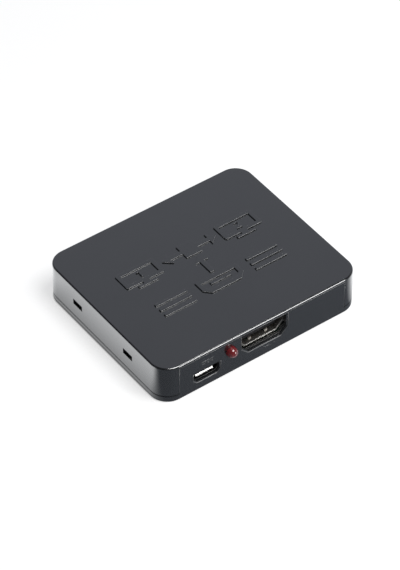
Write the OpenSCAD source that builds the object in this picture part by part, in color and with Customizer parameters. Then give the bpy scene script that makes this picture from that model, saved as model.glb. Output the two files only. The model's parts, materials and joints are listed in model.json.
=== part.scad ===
// Video splitter: a flat two-part snap case around one circuit board, with one
// video input and a micro USB power inlet in front and two video outputs behind.
// Millimetres. Origin at the middle of the underside, +Z up, input panel at -Y.

/* [Case] */
// Width of the case, along its port panels
case_w = 64; // [62:0.5:80]
// Depth of the case, from the front panel to the rear panel
case_d = 52.9; // [51:0.1:70]
// Radius of the four upright corners
corner_r = 5.3; // [4.8:0.1:6.5]
// Rounding of the edge around the top
top_edge_r = 0.5; // [0.3:0.05:0.7]
// Rounding of the edge around the underside
base_edge_r = 0.4; // [0.2:0.05:1]
// Thickness of the top plate
top_t = 1.3; // [1.2:0.05:2]
// Thickness of the plate's lip above both panels
lip_t = 0.85; // [0.75:0.05:1.1]
// Thickness of the cover's side walls
wall_t = 1.5; // [1.3:0.05:2]
// Thickness of the base's floor
floor_t = 1.2; // [1:0.05:2.5]
// Thickness of the front and rear panels
panel_t = 1.6; // [1.3:0.05:2]
// Height of the base's edge above its floor, up to the parting line
curb_h = 0.8; // [0.5:0.05:1]
// Width of the parting gaps between cover and base
seam_gap = 0.12; // [0.08:0.01:0.25]
// Bevel on both edges of the side parting line
seam_bevel = 0.1; // [0.05:0.05:0.3]
// Free height between the video sockets and the top plate
head_room = 0.9; // [0.4:0.05:3]

/* [Locating rim and snap hooks] */
// Thickness of the rim that stands inside the side walls
rim_t = 1; // [0.8:0.05:1.4]
// Height of the rim above the parting line
rim_h = 1.4; // [0.8:0.1:2]
// Gap between the rim or a hook and the side wall
rim_gap = 0.15; // [0.1:0.01:0.3]
// Distance of the rim's ends from the faces of the panels
rim_inset = 6.4; // [5.9:0.1:9]
// Distance of each hook from the middle of its side
hook_y = 11.2; // [8:0.1:14]
// Width of a hook
hook_w = 3.4; // [2.5:0.1:3.8]
// Thickness of a hook
hook_t = 0.9; // [0.7:0.05:1]
// Slit on each side of a hook, in the rim
hook_slit = 0.4; // [0.3:0.05:0.8]
// Reach of a hook's barb into the side wall
hook_bite = 0.55; // [0.4:0.05:1.2]
// Height of the barb's flat end
barb_flat = 0.3; // [0.2:0.05:0.5]
// Height of the snap windows' middle above the parting line
window_rise = 5; // [4:0.05:6]
// Width of a snap window
window_w = 4; // [3.9:0.05:5]
// Height of a snap window
window_h = 1.75; // [1.1:0.05:2]
// Free height below a barb in its window
window_play = 0.08; // [0.04:0.01:0.15]

/* [Board] */
// Thickness of the circuit board
board_t = 1.6; // [1:0.1:2]
// Radius of the board's corners
board_r = 3; // [2.5:0.1:4]
// Gap between the board and the panels
board_end_gap = 0.5; // [0.3:0.05:1]
// Gap between the board and the rims
board_side_gap = 0.6; // [0.3:0.05:1]
// Height of the posts under the board
post_h = 1.1; // [0.9:0.05:2]
// Radius of the posts under and over the board
post_r = 2; // [1.6:0.1:2.4]
// Distance of the posts from the board's side edges
post_inset_x = 3; // [2.6:0.1:3.6]
// Distance of the posts from the board's front and rear edges
post_inset_y = 6; // [5:0.1:6.5]
// Radius of the pegs that locate the board
peg_r = 0.9; // [0.6:0.05:1]
// Gap around a peg
peg_gap = 0.12; // [0.05:0.01:0.2]
// Height of a peg above the board
peg_rise = 1.2; // [0.6:0.1:2]
// Gap between the board and the posts that hang from the top plate
hold_gap = 0.1; // [0.05:0.01:0.3]
// Gap around a leg or lead in the board
slot_gap = 0.2; // [0.1:0.05:0.3]
// Free height between the soldered legs and the floor
stub_gap = 0.45; // [0.3:0.05:0.6]

/* [Video sockets] */
// Place of the input socket along the front panel
input_x = 0.45; // [-3:0.05:3]
// Distance of each output socket from the middle, as a share of the case's width
output_share = 0.211; // [0.19:0.001:0.22]
// Width of a socket's opening
socket_w = 14; // [13.8:0.05:14.3]
// Height of a socket's opening
socket_h = 4.55; // [4.45:0.05:4.8]
// Size of the slanted lower corners of a socket's shell
socket_slant = 2.2; // [1.8:0.05:2.4]
// Radius of the shell's upper corners
socket_r = 0.6; // [0.4:0.05:0.8]
// Thickness of the shell's sheet metal
socket_sheet = 0.3; // [0.2:0.05:0.4]
// Length of a socket's shell
socket_len = 11.5; // [10.5:0.1:12]
// Height of the shell above the board
socket_lift = 0.75; // [0.4:0.05:1]
// Gap between a socket's mouth and the panel
socket_gap = 0.15; // [0.1:0.01:0.4]
// Distance from the middle to each spring finger of a shell
spring_x = 2.7; // [2:0.1:3.5]
// Width of a spring finger
spring_w = 1.3; // [0.8:0.1:1.6]
// Length of a spring finger
spring_len = 5.6; // [4:0.1:5.8]
// Slit around a spring finger
spring_slit = 0.3; // [0.2:0.05:0.5]
// Distance from the insulator's block to the root of the spring fingers
spring_back = 0.2; // [0.1:0.05:0.4]
// Bend of a spring finger into the opening, in degrees
spring_bend = 3.5; // [2:0.5:5]
// Width of a leg of the shell
leg_w = 1; // [0.8:0.05:1.1]
// Distance from the mouth to the first pair of legs
leg_first = 2.2; // [1.6:0.1:3]
// Distance between the two pairs of legs
leg_pitch = 5.96; // [5:0.02:6.5]
// Width of the tongue that carries the contacts
tongue_w = 11; // [10.5:0.1:11.5]
// Thickness of the tongue
tongue_t = 1.9; // [1.6:0.05:2.1]
// Distance from the mouth to the tongue's tip
tongue_inset = 1.2; // [0.8:0.1:2]
// Distance from the mouth to the insulator's block
block_inset = 7.8; // [7.6:0.1:8.5]
// Thickness of the insulator behind the shell
tail_t = 1; // [0.6:0.1:1.5]
// Height of the insulator's rear part above the board
tail_lift = 0.35; // [0.2:0.05:0.4]
// Radius of the insulator's pegs in the board
stud_r = 0.5; // [0.3:0.05:0.6]
// Distance of the insulator's pegs from the middle
stud_x = 5; // [3.5:0.1:5.2]
// Distance between neighbouring contacts of one row
contact_pitch = 1; // [0.9:0.02:1.1]
// Width of a contact
contact_w = 0.3; // [0.2:0.02:0.36]
// Thickness of a contact
contact_t = 0.15; // [0.1:0.01:0.2]
// Length of a contact's foot on the board
contact_foot = 0.9; // [0.5:0.1:1.1]
// Distance from the tongue's tip to the contacts
contact_inset = 0.4; // [0.2:0.05:0.8]
// Gap around an insulator in its shell
fit_gap = 0.04; // [0.02:0.01:0.1]

/* [Panel openings] */
// Room beside a socket's opening in the panel
mouth_play = 0.2; // [0.1:0.05:0.4]
// Room below a socket's opening in the panel
mouth_drop = 0.6; // [0.4:0.05:0.9]
// Bevel around the panel openings
mouth_bevel = 0.3; // [0.15:0.05:0.4]
// Room beside the power socket in the panel
inlet_play = 0.25; // [0.15:0.05:0.4]
// Room below the power socket in the panel
inlet_drop = 0.85; // [0.6:0.05:1]

/* [Power socket] */
// Distance of the power socket from the middle, as a share of the case's width
power_share = 0.281; // [0.27:0.001:0.29]
// Width of the power socket's opening
power_w = 6.9; // [6.8:0.05:7]
// Height of the power socket's opening
power_h = 1.85; // [1.8:0.05:2]
// Size of the slanted lower corners of its shell
power_slant = 0.7; // [0.6:0.05:1]
// Length of its shell
power_len = 5; // [4.8:0.1:5.8]
// Depth of its mouth behind the panel's face
power_recess = 1.3; // [1:0.05:1.5]
// Length of the flared lip below its mouth
lip_len = 0.5; // [0.4:0.05:0.8]
// Flare of the lip, in degrees
lip_flare = 50; // [30:1:55]
// Width of its tongue
power_tongue_w = 3.7; // [3.4:0.1:4]
// Thickness of its tongue
power_tongue_t = 0.6; // [0.5:0.05:0.7]
// Depth of its tongue's tip behind the mouth
power_tongue_inset = 1; // [0.8:0.05:1.5]
// Length of its insulator's block
power_block = 1.8; // [1.4:0.1:2]
// Distance from the flared lip to the first pair of legs
power_leg_first = 0.8; // [0.6:0.1:1]
// Distance between the two pairs of legs
power_leg_pitch = 2.3; // [2.2:0.1:2.5]
// Distance between neighbouring power contacts
power_pitch = 0.65; // [0.6:0.01:0.7]

/* [Lamp] */
// Distance of the lamp from the middle, as a share of the case's width
lamp_share = 0.1615; // [0.157:0.0005:0.166]
// Height of the lamp's axis above the board
lamp_lift = 3.85; // [3.6:0.05:4.6]
// Diameter of the lamp's lens
lamp_d = 3; // [2.8:0.1:3.2]
// Length of the lens from its flange to its dome
lamp_barrel = 2.35; // [2.1:0.05:3.2]
// Width of the lens's flange beyond its barrel
flange_rim = 0.4; // [0.3:0.05:0.5]
// Thickness of the lens's flange
flange_t = 1; // [0.8:0.1:1.2]
// Gap between the flange and the panel
flange_gap = 0.2; // [0.1:0.05:0.4]
// Gap around the lens in the panel
lamp_gap = 0.1; // [0.05:0.05:0.2]
// Thickness of a lead
lead_t = 0.5; // [0.4:0.05:0.6]
// Distance between the two leads
lead_pitch = 2.54; // [2:0.02:2.54]
// Depth of the leads inside the lens
lead_sink = 2.2; // [1.5:0.1:2.6]
// Length of the leads behind the lens, before their bend
lead_run = 2; // [1.5:0.1:3]

/* [Chips] */
// Side of the splitter chip's body
chip_side = 10; // [8:0.1:10.5]
// Height of the splitter chip's body
chip_h = 1.4; // [1:0.1:1.6]
// Distance between neighbouring leads of the splitter chip
chip_pitch = 0.5; // [0.4:0.01:0.52]
// Leads on each side of the splitter chip
chip_leads_side = 16; // [12:1:16]
// Width of the splitter chip's leads
chip_lead_w = 0.22; // [0.15:0.01:0.26]
// Gap between a chip's body and the board
chip_lift = 0.1; // [0.05:0.01:0.2]
// Thickness of a chip's leads
gull_t = 0.14; // [0.1:0.01:0.2]
// Reach of a chip's leads beyond its body
gull_reach = 1; // [0.8:0.05:1.1]
// Length of the memory chip's body
memory_len = 4.9; // [4.7:0.1:6]
// Width of the memory chip's body
memory_w = 3.9; // [3.7:0.1:5.3]
// Distance between neighbouring leads of the memory chip
memory_pitch = 1.27; // [1:0.01:1.3]
// Width of the memory chip's leads
memory_lead_w = 0.4; // [0.3:0.02:0.5]
// Distance of the memory chip to the left of the middle, as a share of the case's width
memory_share_x = 0.203; // [0.195:0.001:0.21]
// Distance of the memory chip behind the middle, as a share of the case's depth
memory_share_y = 0.057; // [0.02:0.001:0.06]
// Length of a regulator's body
regulator_len = 6.5; // [6:0.1:6.7]
// Width of a regulator's body
regulator_w = 3.5; // [3.3:0.1:3.7]
// Height of a regulator's body
regulator_h = 1.6; // [1.4:0.1:1.8]
// Distance between neighbouring leads of a regulator
regulator_lead_pitch = 2.3; // [2:0.05:2.5]
// Width of a regulator's leads
regulator_lead_w = 0.7; // [0.5:0.05:0.9]
// Width of a regulator's cooling tab
regulator_tab_w = 3; // [2.5:0.1:3.4]
// Distance of the regulators from the left side of the case
regulator_side = 10; // [9.5:0.1:10.5]
// Distance of the first regulator before the middle, as a share of the case's depth
regulator_share = 0.19; // [0.17:0.005:0.2]
// Distance between the two regulators
regulator_pitch = 9; // [8:0.1:10]

/* [Crystal] */
// Length of the crystal's base
crystal_len = 11.4; // [10:0.1:12]
// Width of the crystal's base
crystal_w = 4.8; // [4.4:0.1:5]
// Thickness of the crystal's base
crystal_base_t = 0.9; // [0.6:0.1:1.2]
// Height of the crystal's can
crystal_h = 3.2; // [2.5:0.1:3.8]
// Width of the flange around the can
crystal_flange = 0.35; // [0.2:0.05:0.5]
// Distance of the crystal to the right of the middle, as a share of the case's width
crystal_share_x = 0.258; // [0.25:0.001:0.27]
// Distance of the crystal before the middle, as a share of the case's depth
crystal_share_y = 0.076; // [0.04:0.001:0.1]

/* [Small parts] */
// Length of a small chip capacitor or resistor
chip_part_len = 1.6; // [1:0.1:1.7]
// Width of a small chip capacitor or resistor
chip_part_w = 0.8; // [0.5:0.05:0.85]
// Height of a small capacitor
capacitor_h = 0.8; // [0.5:0.05:1]
// Height of a resistor
resistor_h = 0.45; // [0.3:0.05:0.6]
// Length of a metal end cap
end_cap = 0.3; // [0.2:0.05:0.4]
// Distance between the capacitors beside the splitter chip
capacitor_pitch = 2.4; // [2:0.1:2.6]
// Gap between the splitter chip's leads and the capacitors
capacitor_gap = 0.6; // [0.4:0.05:0.8]
// Distance between the resistors behind a socket
resistor_pitch = 1.5; // [1.2:0.1:1.6]
// Gap between a socket's contacts and the resistors
resistor_gap = 0.5; // [0.3:0.05:0.7]
// Length of a bulk capacitor
bulk_len = 3.5; // [3:0.1:3.6]
// Width of a bulk capacitor
bulk_w = 2.8; // [2.4:0.1:2.9]
// Height of a bulk capacitor
bulk_h = 1.9; // [1.5:0.1:2.2]
// Distance of the first bulk capacitor to the left of the middle, as a share of the case's width
bulk_share_x = 0.159; // [0.157:0.001:0.162]
// Distance of the bulk capacitors before the middle, as a share of the case's depth
bulk_share_y = 0.294; // [0.28:0.001:0.3]
// Distance between the bulk capacitors
bulk_pitch = 3.4; // [3.2:0.1:3.6]
// Length of the ferrite bead
bead_len = 3.2; // [2:0.1:3.4]
// Width of the ferrite bead
bead_w = 1.6; // [1.2:0.1:1.8]
// Height of the ferrite bead
bead_h = 1.1; // [0.8:0.1:1.3]
// Gap between the power socket's contacts and the ferrite bead
bead_gap = 1; // [0.6:0.1:1.3]
// Width of a solder joint around a leg's tip
solder_lip = 0.08; // [0.05:0.01:0.12]
// Spread of a solder joint towards the board
solder_spread = 0.35; // [0.2:0.05:0.4]

/* [Hidden] */
$fn = 48;
// Overlap of cuts and of pieces that are fused
cut = 1;

// Heights, from the floor up
seam_z = floor_t + curb_h;
board_z = floor_t + post_h;
board_top = board_z + board_t;
socket_out_h = socket_h + 2 * socket_sheet;
ceiling_z = board_top + socket_lift + socket_out_h + head_room;
case_h = ceiling_z + top_t;
cover_z = seam_z + seam_gap;
lip_z = case_h - lip_t;
panel_top = lip_z - seam_gap;
window_low = seam_z + window_rise - window_h / 2;

// Plan of the case, the board and its posts
panel_w = case_w - 2 * corner_r;
rim_x = case_w / 2 - wall_t - rim_gap;
rim_len = case_d - 2 * rim_inset;
board_w = 2 * (rim_x - rim_t - board_side_gap);
board_d = case_d - 2 * (panel_t + board_end_gap);
post_x = board_w / 2 - post_inset_x;
post_y = board_d / 2 - post_inset_y;
leg_stub = post_h - stub_gap;
solder_tip_r = norm([leg_w, socket_sheet]) / 2 + solder_lip;
solder_r = solder_tip_r + solder_spread;

// Video sockets: the mouth's distance from the middle, then sizes in a socket's own frame
socket_mouth = case_d / 2 - panel_t - socket_gap;
socket_floor = socket_lift + socket_sheet;
inner_slant = socket_slant - socket_sheet * (2 - sqrt(2));
tongue_low = socket_floor + (socket_h - tongue_t) / 2;
tail_end = socket_len + tail_t;
foot_end = tail_end + contact_t + contact_foot;
spring_root = block_inset - spring_back;
upper_row = [for (i = [-4.5:4.5]) i * contact_pitch];
lower_row = [for (i = [-4:4]) i * contact_pitch];

// Power socket, in its own frame
power_mouth = case_d / 2 - power_recess;
power_out_w = power_w + 2 * socket_sheet;
power_out_h = power_h + 2 * socket_sheet;
lip_run = lip_len * cos(lip_flare);
power_tongue_low = socket_sheet + (power_h - power_tongue_t) / 2;
power_tail_end = power_len + tail_t / 2;
power_foot_end = power_tail_end + contact_t + contact_foot;
power_legs = [lip_run + power_leg_first, lip_run + power_leg_first + power_leg_pitch];
power_row = [for (i = [-2:2]) i * power_pitch];

// Places along the panels
output_x = output_share * case_w;
power_x = -power_share * case_w;
lamp_x = -lamp_share * case_w;

// Lamp: its flange lies behind the panel
flange_y = -case_d / 2 + panel_t + flange_gap;
lens_back = flange_y + flange_t;
lamp_z = board_top + lamp_lift;

// Places on the board: the splitter chip and the parts around it
chip_x = input_x;
memory_x = -memory_share_x * case_w;
memory_y = memory_share_y * case_d;
regulator_x = regulator_side - case_w / 2;
regulator_y = -regulator_share * case_d;
crystal_x = crystal_share_x * case_w;
crystal_y = -crystal_share_y * case_d;
bulk_x = -bulk_share_x * case_w;
bulk_y = -bulk_share_y * case_d;
capacitor_reach = chip_side / 2 + gull_reach + capacitor_gap + chip_part_w / 2;
resistor_y = socket_mouth - foot_end - resistor_gap - chip_part_len / 2;
bead_y = -power_mouth + power_foot_end + bead_gap + bead_w / 2;

// Slab with round corners; its edge section is drawn from a corner's axis outwards
module swept_slab(w, d, r, h) {
    translate([r - w / 2, r - d / 2, 0])
        cube([w - 2 * r, d - 2 * r, h]);
    for (k = [0:3]) {
        run = k % 2 == 0 ? d - 2 * r : w - 2 * r;
        reach = k % 2 == 0 ? w / 2 - r : d / 2 - r;
        rotate(90 * k) {
            translate([reach, run / 2, 0])
                rotate([90, 0, 0])
                    linear_extrude(run)
                        children();
            translate([reach, run / 2, 0])
                rotate_extrude(angle = 90)
                    children();
        }
    }
}

// Slab with round corners and plain edges
module plain_slab(w, d, r, h) {
    swept_slab(w, d, r, h)
        square([r, h]);
}

// What a round edge of radius r takes off the upper right corner at [x, y]
module edge_round(x, y, r) {
    translate([x - r, y - r])
        difference() {
            square(2 * r);
            circle(r);
        }
}

// What a bevel takes off a corner at [x, y]
module edge_bevel(x, y, size) {
    translate([x, y])
        rotate(45)
            square(size * sqrt(2), center = true);
}

// Outline with slanted lower corners and, if r is set, round upper ones
module socket_outline(w, h, slant, r = 0) {
    difference() {
        polygon([
            [-w / 2, h], [w / 2, h], [w / 2, slant],
            [w / 2 - slant, 0], [slant - w / 2, 0], [-w / 2, slant]
        ]);
        if (r > 0)
            for (side = [0, 1])
                mirror([side, 0])
                    edge_round(w / 2, h, r);
    }
}

// Stands a drawing up and runs it from y = 0 to y = len
module along_y(len) {
    translate([0, len, 0])
        rotate([90, 0, 0])
            linear_extrude(len)
                children();
}

// Turns a drawing of a side view, [y, z], into a strip of width w across x
module across_x(w) {
    rotate([90, 0, 90])
        linear_extrude(w, center = true)
            children();
}

// Places a socket's frame, its mouth at y = 0, on the front or the rear panel
module at_front(x, mouth) {
    translate([x, -mouth, board_top])
        children();
}

module at_rear(x, mouth) {
    rotate(180)
        at_front(-x, mouth)
            children();
}

module at_posts() {
    for (x = [-post_x, post_x], y = [-post_y, post_y])
        translate([x, y, 0])
            children();
}

// Top cover: plate, side walls, snap windows and the posts that hold the board down
module top_section() {
    h = case_h - cover_z;
    difference() {
        square([corner_r, h]);
        edge_round(corner_r, h, top_edge_r);
        edge_bevel(corner_r, 0, seam_bevel);
    }
}

module panel_way() {
    for (side = [0, 1])
        rotate(180 * side)
            translate([-panel_w / 2 - seam_gap, -case_d / 2 - cut, 0])
                cube([panel_w + 2 * seam_gap, panel_t + seam_gap + cut, lip_z]);
}

module snap_windows() {
    for (y = [-hook_y, hook_y])
        translate([-case_w / 2 - cut, y - window_w / 2, window_low])
            cube([case_w + 2 * cut, window_w, window_h]);
}

module hold_posts() {
    low = board_top + hold_gap;
    at_posts()
        translate([0, 0, low])
            difference() {
                cylinder(h = ceiling_z - low + cut / 2, r = post_r);
                translate([0, 0, -cut])
                    cylinder(h = peg_rise + peg_gap + cut, r = peg_r + peg_gap);
            }
}

module top_cover() {
    color([0.1, 0.1, 0.11]) {
        difference() {
            translate([0, 0, cover_z])
                swept_slab(case_w, case_d, corner_r, case_h - cover_z)
                    top_section();
            plain_slab(case_w - 2 * wall_t, case_d - 2 * wall_t, corner_r - wall_t, ceiling_z);
            panel_way();
            snap_windows();
        }
        hold_posts();
    }
}

// Base: floor with a round edge, rims, posts and the two upright port panels
module base_section() {
    difference() {
        square([corner_r, seam_z]);
        translate([0, seam_z])
            mirror([0, 1])
                edge_round(corner_r, seam_z, base_edge_r);
        edge_bevel(corner_r, seam_z, seam_bevel);
    }
}

module panels() {
    for (side = [0, 1])
        rotate(180 * side)
            translate([-panel_w / 2, -case_d / 2, base_edge_r])
                cube([panel_w, panel_t, panel_top - base_edge_r]);
}

module rims() {
    slot_w = hook_w + 2 * hook_slit;
    for (side = [0, 1])
        mirror([side, 0, 0])
            difference() {
                translate([rim_x - rim_t, -rim_len / 2, floor_t - cut])
                    cube([rim_t, rim_len, curb_h + rim_h + cut]);
                for (y = [-hook_y, hook_y])
                    translate([rim_x - rim_t - cut, y - slot_w / 2, seam_z])
                        cube([rim_t + 2 * cut, slot_w, rim_h + cut]);
            }
}

module board_posts() {
    at_posts() {
        translate([0, 0, floor_t - cut])
            cylinder(h = post_h + cut, r = post_r);
        translate([0, 0, board_z - cut])
            cylinder(h = board_t + peg_rise + cut, r = peg_r);
    }
}

// Cuts a way through a panel whose face is at y = 0, with a bevel around its outer edge.
// The child draws the way's outline, larger by $grow on every side.
module bevelled_way() {
    skin = 0.05;
    hull() {
        translate([0, -skin, 0])
            along_y(skin)
                let ($grow = mouth_bevel)
                    children();
        translate([0, mouth_bevel - skin, 0])
            along_y(skin)
                let ($grow = 0)
                    children();
    }
    along_y(panel_t + cut)
        let ($grow = 0)
            children();
}

function grown_slant(slant) = slant + $grow * (2 - sqrt(2));

// Way in for a video plug, open at the top where the cover's lip closes it
module video_way_outline() {
    low = board_top + socket_floor - mouth_drop - $grow;
    translate([0, low])
        socket_outline(
            socket_w + 2 * (mouth_play + $grow), panel_top + cut - low, grown_slant(inner_slant));
}

// Way in for the power plug, closed all round and bevelled but for its upper edge
module power_way_outline() {
    play = inlet_play + $grow;
    low = board_top - inlet_drop - $grow;
    high = board_top + power_out_h;
    translate([0, low])
        socket_outline(power_out_w + 2 * play, high - low, grown_slant(power_slant + inlet_play));
}

// Hole for the lamp, which is pushed in from behind on its bent leads
module lamp_hole() {
    translate([lamp_x, -cut, lamp_z])
        along_y(panel_t + 2 * cut)
            circle(lamp_d / 2 + lamp_gap);
}

module port_ways() {
    translate([0, -case_d / 2, 0]) {
        translate([input_x, 0, 0])
            bevelled_way()
                video_way_outline();
        translate([power_x, 0, 0])
            bevelled_way()
                power_way_outline();
        lamp_hole();
    }
    for (x = [-output_x, output_x])
        rotate(180)
            translate([x, -case_d / 2, 0])
                bevelled_way()
                    video_way_outline();
}

module bottom_cover() {
    color([0.09, 0.09, 0.1]) {
        difference() {
            union() {
                swept_slab(case_w, case_d, corner_r, seam_z)
                    base_section();
                panels();
            }
            translate([0, 0, floor_t])
                plain_slab(2 * (rim_x - rim_t), case_d - 2 * panel_t, corner_r / 2, curb_h + cut);
            port_ways();
        }
        rims();
        board_posts();
    }
}

// Snap hooks: springy posts whose barbs sit in the cover's windows
module hook_outline() {
    low = window_low + window_play;
    tip = rim_gap + hook_bite;
    top = window_low + window_h;
    polygon([
        [-hook_t, seam_z], [0, seam_z], [0, low], [tip, low],
        [tip, low + barb_flat], [0, top], [-hook_t, top]
    ]);
}

module snap_hooks() {
    color([0.09, 0.09, 0.1])
        for (side = [0, 1], y = [-hook_y, hook_y])
            mirror([side, 0, 0])
                translate([rim_x, y - hook_w / 2, 0])
                    along_y(hook_w)
                        hook_outline();
}

// Circuit board with holes for the pegs, legs, studs and leads
module leg_boxes(half_w, places, sheet, low, high, gap = 0) {
    for (side = [0, 1], y = places)
        mirror([side, 0, 0])
            translate([half_w - gap, y - gap, low])
                cube([sheet + 2 * gap, leg_w + 2 * gap, high - low]);
}

module video_legs(low, high, gap = 0) {
    leg_boxes(socket_w / 2, [leg_first, leg_first + leg_pitch], socket_sheet, low, high, gap);
}

module power_shell_legs(low, high, gap = 0) {
    leg_boxes(power_w / 2, power_legs, socket_sheet, low, high, gap);
}

module insulator_studs(h, gap = 0) {
    for (x = [-stud_x, stud_x])
        translate([x, socket_len + tail_t / 2, -h])
            cylinder(h = h + tail_lift, r = stud_r + gap);
}

module at_video_sockets() {
    at_front(input_x, socket_mouth)
        children();
    for (x = [-output_x, output_x])
        at_rear(x, socket_mouth)
            children();
}

module at_lamp_leads() {
    for (side = [-1, 1])
        translate([lamp_x + side * lead_pitch / 2, lens_back + lead_run - lead_t / 2, 0])
            children();
}

module main_board() {
    color([0.05, 0.3, 0.16])
        difference() {
            translate([0, 0, board_z])
                plain_slab(board_w, board_d, board_r, board_t);
            at_posts()
                translate([0, 0, board_z - cut])
                    cylinder(h = board_t + 2 * cut, r = peg_r + peg_gap);
            at_video_sockets() {
                video_legs(-board_t - cut, cut, slot_gap);
                insulator_studs(board_t + cut, slot_gap / 2);
            }
            at_front(power_x, power_mouth)
                power_shell_legs(-board_t - cut, cut, slot_gap);
            at_lamp_leads()
                translate([0, 0, board_z - cut])
                    cylinder(h = board_t + 2 * cut, r = lead_t / sqrt(2) + slot_gap / 2);
        }
}

// Video socket: sheet metal shell with spring fingers and legs
module spring_windows() {
    w = spring_w + 2 * spring_slit;
    for (x = [-spring_x, spring_x])
        translate([x - w / 2, spring_root - spring_len - spring_slit, socket_lift - cut])
            cube([w, spring_len + spring_slit, socket_out_h + 2 * cut]);
}

module spring_fingers() {
    root = 0.2;
    for (x = [-spring_x, spring_x], top = [0, 1]) {
        z = socket_lift + top * socket_out_h;
        turn = top == 1 ? spring_bend : -spring_bend;
        translate([x - spring_w / 2, spring_root + root, z])
            rotate([turn, 0, 0])
                translate([0, -spring_len - root, top == 1 ? -socket_sheet : 0])
                    cube([spring_w, spring_len + root, socket_sheet]);
    }
}

module video_shell() {
    color([0.75, 0.75, 0.76]) {
        difference() {
            translate([0, 0, socket_lift])
                along_y(socket_len)
                    socket_outline(
                        socket_w + 2 * socket_sheet, socket_out_h, socket_slant, socket_r + socket_sheet);
            translate([0, -cut, socket_floor])
                along_y(socket_len + 2 * cut)
                    socket_outline(socket_w, socket_h, inner_slant, socket_r);
            spring_windows();
        }
        spring_fingers();
        video_legs(-board_t - leg_stub, socket_lift + socket_slant + cut);
    }
}

// Side view of a contact that lies at height z, runs back and steps down to the board
module contact_outline(tip, z, back) {
    drop = back + contact_t;
    polygon([
        [tip, z], [tip, z + contact_t], [drop, z + contact_t], [drop, contact_t],
        [drop + contact_foot, contact_t], [drop + contact_foot, 0], [back, 0], [back, z]
    ]);
}

module contact_row(places, tip, z, back) {
    for (x = places)
        translate([x, 0, 0])
            across_x(contact_w)
                contact_outline(tip, z, back);
}

module video_contacts() {
    tip = tongue_inset + contact_inset;
    color([0.8, 0.65, 0.3]) {
        contact_row(upper_row, tip, tongue_low + tongue_t, tail_end);
        contact_row(lower_row, tip, tongue_low - contact_t, tail_end);
    }
}

// Video socket's insulator: block in the shell, tongue in front, comb and studs behind
module video_insulator() {
    comb_w = tongue_w + contact_pitch;
    color([0.07, 0.07, 0.07])
        difference() {
            union() {
                translate([0, block_inset, socket_floor + fit_gap])
                    along_y(socket_len - block_inset)
                        socket_outline(
                            socket_w - 2 * fit_gap, socket_h - 2 * fit_gap, inner_slant, socket_r);
                translate([-tongue_w / 2, tongue_inset, tongue_low])
                    cube([tongue_w, block_inset - tongue_inset + cut, tongue_t]);
                translate([-comb_w / 2, socket_len - cut / 2, socket_floor + fit_gap + inner_slant])
                    cube([comb_w, tail_t + cut / 2, tongue_t]);
                translate([-comb_w / 2, socket_len, tail_lift])
                    cube([comb_w, tail_t, socket_floor + inner_slant - tail_lift + tongue_t]);
                insulator_studs(board_t);
            }
            video_contacts();
        }
}

module input_shell() {
    at_front(input_x, socket_mouth)
        video_shell();
}

module input_insulator() {
    at_front(input_x, socket_mouth)
        video_insulator();
}

module input_contacts() {
    at_front(input_x, socket_mouth)
        video_contacts();
}

module output_1_shell() {
    at_rear(output_x, socket_mouth)
        video_shell();
}

module output_1_insulator() {
    at_rear(output_x, socket_mouth)
        video_insulator();
}

module output_1_contacts() {
    at_rear(output_x, socket_mouth)
        video_contacts();
}

module output_2_shell() {
    at_rear(-output_x, socket_mouth)
        video_shell();
}

module output_2_insulator() {
    at_rear(-output_x, socket_mouth)
        video_insulator();
}

module output_2_contacts() {
    at_rear(-output_x, socket_mouth)
        video_contacts();
}

// Power socket: shell with a flared lip, insulator and contacts
module flared_lip() {
    w = power_w - 2 * power_slant;
    translate([-w / 2, lip_run, 0])
        rotate([lip_flare, 0, 0])
            translate([0, -lip_len, 0])
                cube([w, lip_len + socket_sheet / 2, socket_sheet]);
}

module power_shell() {
    inner = power_slant - socket_sheet * (2 - sqrt(2));
    at_front(power_x, power_mouth)
        color([0.75, 0.75, 0.76]) {
            difference() {
                translate([0, lip_run, 0])
                    along_y(power_len - lip_run)
                        socket_outline(power_out_w, power_out_h, power_slant);
                translate([0, 0, socket_sheet])
                    along_y(power_len + cut)
                        socket_outline(power_w, power_h, inner);
            }
            flared_lip();
            power_shell_legs(-board_t - leg_stub, power_slant + socket_sheet);
        }
}

module power_contact_strips() {
    tip = power_tongue_inset + contact_inset;
    contact_row(power_row, tip, power_tongue_low + power_tongue_t, power_tail_end);
}

module power_insulator() {
    start = power_len - power_block;
    inner = power_slant - socket_sheet * (2 - sqrt(2));
    at_front(power_x, power_mouth)
        color([0.07, 0.07, 0.07])
            difference() {
                union() {
                    translate([0, start, socket_sheet + fit_gap])
                        along_y(power_block)
                            socket_outline(power_w - 2 * fit_gap, power_h - 2 * fit_gap, inner);
                    translate([-power_tongue_w / 2, power_tongue_inset, power_tongue_low])
                        cube([power_tongue_w, start - power_tongue_inset + cut / 2, power_tongue_t]);
                    translate([-power_tongue_w / 2, power_len - cut / 2, power_tongue_low])
                        cube([power_tongue_w, tail_t / 2 + cut / 2, power_tongue_t]);
                }
                power_contact_strips();
            }
}

module power_contacts() {
    at_front(power_x, power_mouth)
        color([0.8, 0.65, 0.3])
            power_contact_strips();
}

// Lamp: domed lens with a flange, and two bent leads
module lamp_lens() {
    r = lamp_d / 2;
    color([0.75, 0.05, 0.07])
        difference() {
            translate([lamp_x, lens_back, lamp_z])
                rotate([90, 0, 0])
                    rotate_extrude() {
                        square([r + flange_rim, flange_t]);
                        square([r, flange_t + lamp_barrel]);
                        translate([0, flange_t + lamp_barrel])
                            intersection() {
                                circle(r);
                                square(r);
                            }
                    }
            lamp_leads();
        }
}

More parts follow.
